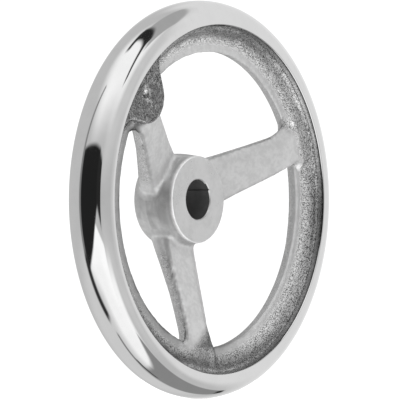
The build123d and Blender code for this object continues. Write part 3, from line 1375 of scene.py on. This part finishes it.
class Sketch:
    """Short hand for laying out a node tree."""

    FIRST_COLOUR = 6
    SECOND_COLOUR = 7
    MIXED_COLOUR = 2

    def __init__(self, tree: bpy.types.NodeTree) -> None:
        """Keep the tree and clear it."""
        self.tree = tree
        tree.nodes.clear()

    def node(self, kind: str, **settings: str) -> bpy.types.Node:
        """A new node.

        Args:
            kind: The node's type.
            settings: Its settings, by name.

        Returns:
            The node.
        """
        made = self.tree.nodes.new(kind)
        for name, value in settings.items():
            setattr(made, name, value)
        return made

    def feed(self, value: Fed, socket: bpy.types.NodeSocket) -> None:
        """Link a socket, or set a plain value on it.

        Args:
            value: The socket to link from, or the plain value.
            socket: The socket to feed.
        """
        if isinstance(value, bpy.types.NodeSocket):
            self.tree.links.new(value, socket)
        else:
            socket.default_value = value

    def math(self, operation: str, *values: Fed) -> bpy.types.NodeSocket:
        """Result of one arithmetic step.

        Args:
            operation: The step's name.
            values: What it works on, in order.

        Returns:
            The result.
        """
        made = self.node("ShaderNodeMath", operation=operation)
        for value, socket in zip(values, made.inputs):
            self.feed(value, socket)
        return made.outputs[0]

    def blend(self, first: Fed, share: float, second: Fed) -> bpy.types.NodeSocket:
        """Sum of two values, the first by its share and the second by the rest of one."""
        return self.math("ADD", self.math("MULTIPLY", first, share),
                         self.math("MULTIPLY", second, 1.0 - share))

    def scaled(self, vector: bpy.types.NodeSocket, amount: Fed) -> bpy.types.NodeSocket:
        """A vector or colour times an amount.

        Args:
            vector: What to scale.
            amount: How much to scale it.

        Returns:
            The scaled vector.
        """
        made = self.node("ShaderNodeVectorMath", operation="SCALE")
        self.feed(vector, made.inputs[0])
        self.feed(amount, made.inputs["Scale"])
        return made.outputs[0]

    def dot(self, vector: bpy.types.NodeSocket, axis: Triple) -> bpy.types.NodeSocket:
        """Length of a vector along an axis.

        Args:
            vector: The vector.
            axis: The axis, one unit long.

        Returns:
            The length.
        """
        made = self.node("ShaderNodeVectorMath", operation="DOT_PRODUCT")
        self.feed(vector, made.inputs[0])
        self.feed(axis, made.inputs[1])
        return made.outputs["Value"]

    def ease(self, value: Fed, low: float, high: float, start: float = 0.0,
             end: float = 1.0) -> bpy.types.NodeSocket:
        """Smooth change of a value from one range to another.

        Args:
            value: The value.
            low: Where the change starts.
            high: Where it ends.
            start: Result up to there.
            end: Result from there on.

        Returns:
            The changed value.
        """
        made = self.node("ShaderNodeMapRange", interpolation_type="SMOOTHSTEP")
        for amount, socket in zip((value, low, high, start, end), made.inputs):
            self.feed(amount, socket)
        return made.outputs[0]

    def noise(self, vector: bpy.types.NodeSocket, size: float, detail: float = 2.0,
              rough: float = 0.5) -> bpy.types.NodeSocket:
        """Noise whose lumps are about one size across.

        Args:
            vector: Place that it is read at.
            size: Width of a lump, in the unit of the place.
            detail: Number of finer layers.
            rough: How strong each finer layer is.

        Returns:
            The noise, about 0.5 on average.
        """
        made = self.node("ShaderNodeTexNoise", noise_dimensions="3D")
        self.feed(vector, made.inputs["Vector"])
        self.feed(1.0 / size, made.inputs["Scale"])
        self.feed(detail, made.inputs["Detail"])
        self.feed(rough, made.inputs["Roughness"])
        return made.outputs[0]

    def mix(self, share: Fed, first: Fed, second: Fed) -> bpy.types.NodeSocket:
        """Colour between two.

        Args:
            share: Where between them, from 0 at the first to 1 at the second.
            first: One colour, with its opacity.
            second: The other.

        Returns:
            The mixed colour.
        """
        made = self.node("ShaderNodeMix", data_type="RGBA")
        self.feed(share, made.inputs["Factor"])
        self.feed(first, made.inputs[self.FIRST_COLOUR])
        self.feed(second, made.inputs[self.SECOND_COLOUR])
        return made.outputs[self.MIXED_COLOUR]

    def grey(self, share: Fed, first: float, second: float) -> bpy.types.NodeSocket:
        """Grey between two."""
        return self.mix(share, (first, first, first, 1.0), (second, second, second, 1.0))

    def place(self) -> bpy.types.NodeSocket:
        """Place on the object, in metres."""
        return self.node("ShaderNodeTexCoord").outputs["Object"]

    def painted(self, name: str) -> bpy.types.NodeSocket:
        """Value that the mesh has under a name."""
        return self.node("ShaderNodeAttribute", attribute_name=name).outputs["Fac"]

    def surface(self, settings: dict[str, Fed],
                height: bpy.types.NodeSocket | None = None) -> None:
        """End the tree in one shader.

        Args:
            settings: What to feed the shader's sockets, by their names.
            height: Height of the fine relief in millimetres, if there is any.
        """
        shader = self.node("ShaderNodeBsdfPrincipled")
        for name, value in settings.items():
            self.feed(value, shader.inputs[name])
        if height is not None:
            bump = self.node("ShaderNodeBump")
            self.feed(1.0, bump.inputs["Strength"])
            self.feed(MM, bump.inputs["Distance"])
            self.feed(height, bump.inputs["Height"])
            self.feed(bump.outputs[0], shader.inputs["Normal"])
        self.feed(shader.outputs[0], self.node("ShaderNodeOutputMaterial").inputs[0])


def new_material(name: str) -> tuple[bpy.types.Material, Sketch]:
    """An empty material.

    Args:
        name: Name of the material.

    Returns:
        The material, and the sketch of its node tree.
    """
    made = bpy.data.materials.new(name)
    made.use_nodes = True
    return made, Sketch(made.node_tree)


@dataclass(frozen=True)
class CastFinish:
    """Bare cast aluminium, which goes from filed smooth to sandy where the mesh says so.

    Tones are shares of white, depths and lumps millimetres.
    """

    name: str
    filed_tone: float
    sand_tone: float
    filed_roughness: float
    sand_roughness: float
    filed_depth: float
    sand_depth: float
    grain: float = 0.42
    lump: float = 1.7
    mottle: float = 5.0
    ragged: float = 0.8
    sandy_range: Span = (0.1, 0.9)
    fine_share: float = 0.90
    pit_range: Span = (0.40, 0.56)
    pit_tone: float = 0.16
    cloud_range: Span = (0.38, 0.62)
    cloud_tones: Span = (0.90, 1.03)
    metallic: float = 0.72
    # Below 0 the darkening is a painted highlight: at full_highlight the metal is
    # highlight_metallic and its colour brighter.
    highlight_metallic: float = 0.2
    full_highlight: float = -0.9
    # Painted shade on surfaces seen at a slant, up to edge_shade at their silhouette.
    facing_range: Span = (0.72, 0.98)
    edge_shade: float = 0.42

    def colour(self, sketch: Sketch, sandy: bpy.types.NodeSocket, grain: bpy.types.NodeSocket,
               cloud: bpy.types.NodeSocket) -> bpy.types.NodeSocket:
        """Colour of the bare metal: clouded where it is filed, pitted where it is sandy.

        Args:
            sketch: The material's node sketch.
            sandy: How sandy the surface is.
            grain: Height of its grain, from 0 to 1.
            cloud: Broad unevenness, from 0 to 1.

        Returns:
            The colour.
        """
        pits = sketch.ease(grain, *self.pit_range)
        pitted = sketch.grey(pits, self.sand_tone * self.pit_tone, self.sand_tone)
        dark, light = self.cloud_tones
        filed = sketch.grey(sketch.ease(cloud, *self.cloud_range), self.filed_tone * dark,
                            self.filed_tone * light)
        return sketch.mix(sandy, filed, pitted)

    def oxide_and_shading(self, sketch: Sketch) -> bpy.types.NodeSocket:
        """The mesh's painted shading and oxide, with more painted shade on surfaces seen at a
        slant.

        Args:
            sketch: The material's node sketch.

        Returns:
            The darkening.
        """
        turned_away = sketch.node("ShaderNodeLayerWeight").outputs["Facing"]
        slanted = sketch.ease(turned_away, *self.facing_range, 0.0, self.edge_shade)
        return sketch.math("ADD", sketch.painted("oxide_and_shading"), slanted)

    def material(self) -> bpy.types.Material:
        """Procedural material of the finish.

        Returns:
            The new material.
        """
        made, sketch = new_material(self.name)
        spot = sketch.scaled(sketch.place(), 1.0 / MM)
        fine = sketch.noise(spot, self.grain, 2.0, 0.6)
        lump = sketch.noise(spot, self.lump, 2.0)
        broad = sketch.noise(spot, self.mottle, 3.0, 0.6)
        ragged = sketch.math("MULTIPLY", sketch.math("SUBTRACT", lump, 0.5), self.ragged)
        sandy = sketch.ease(sketch.math("ADD", sketch.painted("sand"), ragged), *self.sandy_range)
        grain = sketch.blend(fine, self.fine_share, lump)
        cloud = sketch.blend(broad, 0.5, lump)
        oxide_and_shading = self.oxide_and_shading(sketch)
        # The colour is darkened by painted shade and oxide, and brightened below 0 by painted
        # highlights.
        clear = sketch.math("SUBTRACT", 1.0, oxide_and_shading)
        depth = sketch.ease(sandy, 0.0, 1.0, self.filed_depth, self.sand_depth)
        sketch.surface({
            "Base Color": sketch.scaled(self.colour(sketch, sandy, grain, cloud), clear),
            "Metallic": sketch.ease(oxide_and_shading, self.full_highlight, 0.0, self.highlight_metallic, self.metallic),
            "Roughness": sketch.ease(sandy, 0.0, 1.0, self.filed_roughness, self.sand_roughness),
        }, sketch.math("MULTIPLY", grain, depth))
        return made


@dataclass(frozen=True)
class TurnedFinish:
    """Machined or polished aluminium, with marks that run round the wheel's axis.

    The stain is how much darker its clouds are, as a share of the tone.
    """

    name: str
    tone: float
    roughness: float
    roughness_spread: float
    mark_width: float
    mark_length: float
    mark_depth: float
    stain: float = 0.0
    metallic: float = 1.0
    specular: float = 0.5
    length_radius: float = 60.0
    depth_share: float = 1.3
    cloud: float = 9.0
    cloud_range: Span = (0.35, 0.65)
    rough_range: Span = (0.3, 0.7)

    def marks(self, sketch: Sketch, spot: bpy.types.NodeSocket) -> bpy.types.NodeSocket:
        """Fine marks that are long round the axis and narrow across it.

        Args:
            sketch: The material's node sketch.
            spot: Place on the wheel, in millimetres.

        Returns:
            Height of the marks, from 0 to 1.
        """
        split = sketch.node("ShaderNodeSeparateXYZ")
        sketch.feed(spot, split.inputs[0])
        x, y, z = split.outputs
        squares = sketch.math("ADD", sketch.math("MULTIPLY", x, x), sketch.math("MULTIPLY", z, z))
        radius = sketch.math("SQRT", squares)
        per_mark = sketch.math("MULTIPLY", radius, self.mark_length / self.length_radius)
        across = sketch.math("ADD", radius, sketch.math("MULTIPLY", y, self.depth_share))
        ring = sketch.node("ShaderNodeCombineXYZ")
        sketch.feed(sketch.math("DIVIDE", x, per_mark), ring.inputs[0])
        sketch.feed(sketch.math("DIVIDE", z, per_mark), ring.inputs[1])
        sketch.feed(sketch.math("DIVIDE", across, self.mark_width), ring.inputs[2])
        return sketch.noise(ring.outputs[0], 1.0, 2.0, 0.6)

    def material(self) -> bpy.types.Material:
        """Procedural material of the finish.

        Returns:
            The new material.
        """
        made, sketch = new_material(self.name)
        spot = sketch.scaled(sketch.place(), 1.0 / MM)
        marks = self.marks(sketch, spot)
        cloud = sketch.noise(spot, self.cloud, 3.0, 0.6)
        dull = self.tone * (1.0 - self.stain)
        smoothest = max(self.roughness - self.roughness_spread, 0.0)
        sketch.surface({
            "Base Color": sketch.grey(sketch.ease(cloud, *self.cloud_range), dull, self.tone),
            "Metallic": self.metallic,
            "Specular IOR Level": self.specular,
            "Roughness": sketch.ease(sketch.blend(marks, 0.5, cloud), *self.rough_range, smoothest,
                                     self.roughness + self.roughness_spread),
        }, sketch.math("MULTIPLY", marks, self.mark_depth))
        return made


def finishes() -> dict[Zone, bpy.types.Material]:
    """Make the finishes of the casting.

    Returns:
        The material of each zone.
    """
    made = {
        Zone.RIM: TurnedFinish(
            "polished_rim", tone=0.93, roughness=0.05, roughness_spread=0.025, mark_width=0.35,
            mark_length=9.0, mark_depth=0.0004, stain=0.03),
        Zone.CAST: CastFinish(
            "cast_skin", filed_tone=0.73, sand_tone=0.97, filed_roughness=0.38,
            sand_roughness=0.22, filed_depth=0.040, sand_depth=0.13),
        Zone.BOSS: CastFinish(
            "boss_skin", filed_tone=0.24, sand_tone=0.27, filed_roughness=0.34,
            sand_roughness=0.26, filed_depth=0.10, sand_depth=0.24),
        Zone.HUB_FACE: TurnedFinish(
            "turned_hub_face", tone=0.86, roughness=0.36, roughness_spread=0.12, mark_width=0.45,
            mark_length=10.0, mark_depth=0.05, stain=0.14),
        # The bore's near-black, matt tone is painted shade: its machined wall takes the dark of the
        # shadow in the hole.
        Zone.BORE: TurnedFinish(
            "bore_in_painted_shade", tone=0.085, roughness=0.6, roughness_spread=0.1, mark_width=0.5,
            mark_length=9.0, mark_depth=0.030, stain=0.3, metallic=0.0, specular=0.1),
    }
    return {zone: finish.material() for zone, finish in made.items()}


@dataclass(frozen=True)
class StudioPanel:
    """A soft-edged area of the studio, as the wheel sees it in one direction.

    Its sides are tangents from the facing direction, and its lower and upper side may slope.
    """

    name: str
    azimuth: float
    elevation: float
    left: float
    right: float
    bottom: float
    top: float
    tone: float
    soft: float = 0.08
    bottom_slope: float = 0.0
    top_slope: float = 0.0

    def axes(self) -> tuple[Triple, Triple, Triple]:
        """Directions that the panel is laid out in.

        Returns:
            Unit vectors towards the panel, to its side and to its top.
        """
        turn, tilt = math.radians(self.azimuth), math.radians(self.elevation)
        ahead = (math.cos(tilt) * math.cos(turn), math.cos(tilt) * math.sin(turn), math.sin(tilt))
        aside = (-math.sin(turn), math.cos(turn), 0.0)
        above = (-math.sin(tilt) * math.cos(turn), -math.sin(tilt) * math.sin(turn), math.cos(tilt))
        return ahead, aside, above

    def painted(self, sketch: Sketch, direction: bpy.types.NodeSocket,
                under: Fed) -> bpy.types.NodeSocket:
        """Lay the panel over what is under it.

        Args:
            sketch: The world's node sketch.
            direction: Direction that is looked in.
            under: Tone so far.

        Returns:
            The new tone.
        """
        ahead, aside, above = self.axes()
        front = sketch.dot(direction, ahead)
        safe = sketch.math("MAXIMUM", front, LEAST_FACING)
        u = sketch.math("DIVIDE", sketch.dot(direction, aside), safe)
        v = sketch.math("DIVIDE", sketch.dot(direction, above), safe)
        bottom = sketch.math("MULTIPLY_ADD", u, self.bottom_slope, self.bottom)
        top = sketch.math("MULTIPLY_ADD", u, self.top_slope, self.top)
        soft = self.soft
        mask = sketch.ease(u, self.left - soft, self.left + soft)
        for other in (
            sketch.ease(u, self.right - soft, self.right + soft, 1.0, 0.0),
            sketch.ease(sketch.math("SUBTRACT", v, bottom), -soft, soft),
            sketch.ease(sketch.math("SUBTRACT", v, top), -soft, soft, 1.0, 0.0),
            sketch.ease(front, LEAST_FACING, FULL_FACING),
        ):
            mask = sketch.math("MULTIPLY", mask, other)
        gap = sketch.math("SUBTRACT", self.tone, under)
        return sketch.math("ADD", sketch.math("MULTIPLY", gap, mask), under)


@dataclass
class Studio:
    """White studio: a bright tent with darker panels, a pale floor and a long lens."""

    base: float = 0.52
    backdrop: float = 1.12
    floor_size: float = 1.2
    floor_glow: float = 0.55
    floor_tones: Span = (0.93, 0.96)
    floor_tooth: float = 0.004
    camera_azimuth: float = -143.326
    view_width: float = 160.97
    lens: float = 1600.0
    sensor: float = 36.0
    aim_right: float = 16.77
    aim_up: float = -0.18
    # Name, azimuth, elevation, left, right, bottom, top, tone, soft edge and the two slopes.
    panels: tuple[StudioPanel, ...] = (
        StudioPanel("far_wall", 0, 8, -1.15, 0.72, -0.75, 0.95, 0.73, 0.24),
        StudioPanel("far_glow", 26, 2, -0.45, 0.40, -0.26, 0.28, 0.84, 0.30),
        StudioPanel("side_wall", -82, 5, -0.75, 0.60, -0.6, 1.0, 0.60, 0.3),
        StudioPanel("horizon", -97, 0, -1.0, 0.75, -0.16, 0.14, 0.46, 0.22),
        StudioPanel("upper_light", -150, 62, -0.70, 1.1, -0.35, 1.1, 0.95, 0.40),
        StudioPanel("lower_light", -135, -58, -1.3, 0.95, -1.2, 0.66, 1.0, 0.25),
        StudioPanel("light_corner", -135, -58, -1.1, 0.37, 0.10, 0.90, 1.05, 0.05, 0.0, -0.22),
        StudioPanel("beside_light", 165, -75, -0.6, 1.0, -0.9, 0.9, 0.96, 0.4),
        StudioPanel("low_side", 90, -58, -1.0, 1.0, -0.6, 0.6, 0.63, 0.35),
        StudioPanel("dark_side", 189, 0, -1.16, 0.66, -0.40, 0.56, 0.016, 0.045, 0.58, -0.07),
        StudioPanel("dark_tail", 189, 0, 0.52, 1.12, 0.20, 0.60, 0.022, 0.07, -0.46, -0.16),
        StudioPanel("seam", 143, 0, -0.07, 0.05, -1.2, 1.6, 0.22, 0.05),
        StudioPanel("low_seam", 145, -42, -0.13, 0.09, -0.36, 0.30, 0.03, 0.06),
        StudioPanel("table_seam", 0, -90, 0.26, 0.34, -0.24, 0.26, 0.17, 0.04),
        StudioPanel("roof_panel", 0, 90, -0.74, 0.22, -0.80, -0.20, 0.38, 0.06),
        StudioPanel("roof_edge", 0, 90, -0.50, 0.30, -0.27, -0.07, 0.02, 0.04),
        StudioPanel("roof_corner", 0, 90, -1.0, -0.36, -0.42, -0.27, 0.03, 0.05, -0.5, -0.5),
        StudioPanel("roof_end", 0, 90, 0.20, 0.33, -0.22, 0.06, 0.03, 0.04),
        StudioPanel("table_panel", 0, -90, -1.15, 0.02, 0.22, 1.52, 0.25, 0.06, 0.0, 0.95),
        StudioPanel("table_end", 0, -90, -0.06, 0.36, 0.22, 1.50, 0.25, 0.06),
        StudioPanel("table_corner", 0, -90, 0.235, 0.295, 0.10, 0.42, 0.05, 0.03),
        StudioPanel("table_edge", 0, -90, -0.02, 0.30, 1.38, 1.56, 0.02, 0.05),
    )

    def sky(self) -> None:
        """Paint the studio on the world: white behind the wheel, panels in its reflections."""
        world = bpy.data.worlds.new("studio")
        bpy.context.scene.world = world
        world.use_nodes = True
        sketch = Sketch(world.node_tree)
        direction = sketch.node("ShaderNodeTexCoord").outputs["Generated"]
        tone = self.base
        for panel in self.panels:
            tone = panel.painted(sketch, direction, tone)
        path = sketch.node("ShaderNodeLightPath")
        seen = sketch.math("MAXIMUM", path.outputs["Is Camera Ray"], path.outputs["Is Diffuse Ray"])
        plain = sketch.math("MULTIPLY", seen, self.backdrop)
        painted = sketch.math("MULTIPLY", sketch.math("SUBTRACT", 1.0, seen), tone)
        background = sketch.node("ShaderNodeBackground")
        sketch.feed(sketch.math("ADD", plain, painted), background.inputs["Strength"])
        sketch.feed(WHITE, background.inputs["Color"])
        sketch.feed(background.outputs[0], sketch.node("ShaderNodeOutputWorld").inputs[0])

    def floor_paint(self) -> bpy.types.Material:
        """Matt paint of the floor, which glows a little.

        Returns:
            The new material.
        """
        made, sketch = new_material("pale_floor")
        tooth = sketch.noise(sketch.place(), self.floor_tooth, 2.0)
        sketch.surface({
            "Base Color": sketch.grey(tooth, *self.floor_tones),
            "Roughness": 1.0,
            "Specular IOR Level": 0.0,
            "Emission Color": WHITE,
            "Emission Strength": self.floor_glow,
        })
        return made

    def floor(self) -> bpy.types.Object:
        """Pale floor that the wheel stands on.

        Returns:
            The floor.
        """
        half = self.floor_size / 2
        low = -WHEEL_RADIUS * MM
        mesh = bpy.data.meshes.new("floor")
        corners = [(-half, -half, low), (half, -half, low), (half, half, low), (-half, half, low)]
        mesh.from_pydata(corners, [], [(0, 1, 2, 3)])
        mesh.materials.append(self.floor_paint())
        floor = bpy.data.objects.new("floor", mesh)
        bpy.context.scene.collection.objects.link(floor)
        floor.visible_glossy = False
        return floor

    def camera(self) -> bpy.types.Object:
        """Long lens at the height of the wheel's axis, turned to its side.

        Returns:
            The camera, which the scene looks through.
        """
        data = bpy.data.cameras.new("camera")
        data.lens = self.lens
        data.sensor_width = self.sensor
        data.clip_start, data.clip_end = 0.1, 50.0
        made = bpy.data.objects.new("camera", data)
        bpy.context.scene.collection.objects.link(made)
        turn = math.radians(self.camera_azimuth)
        back = Vector((math.cos(turn), math.sin(turn), 0.0))
        right = Vector((-back.y, back.x, 0.0))
        distance = self.view_width * MM / 2 / (data.sensor_width / 2 / self.lens)
        aim = right * self.aim_right * MM + Vector((0.0, 0.0, self.aim_up * MM))
        made.location = aim + back * distance
        made.rotation_mode = "QUATERNION"
        made.rotation_quaternion = (-back).to_track_quat("-Z", "Y")
        bpy.context.scene.camera = made
        return made

    def build(self) -> None:
        """Set up the whole studio."""
        bpy.context.scene.view_settings.view_transform = "Standard"
        self.sky()
        self.floor()
        self.camera()


def main() -> None:
    """Build the wheel and its studio, and log the size of its mesh."""
    logging.basicConfig(level=logging.INFO, format="%(name)s: %(message)s")
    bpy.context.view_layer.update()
    Studio().build()
    piece = Casting().build(finishes())
    mesh = piece.data
    log.info("%s: %d points, %d faces", piece.name, len(mesh.vertices), len(mesh.polygons))
    bpy.context.view_layer.update()


if __name__ == "__main__":
    main()
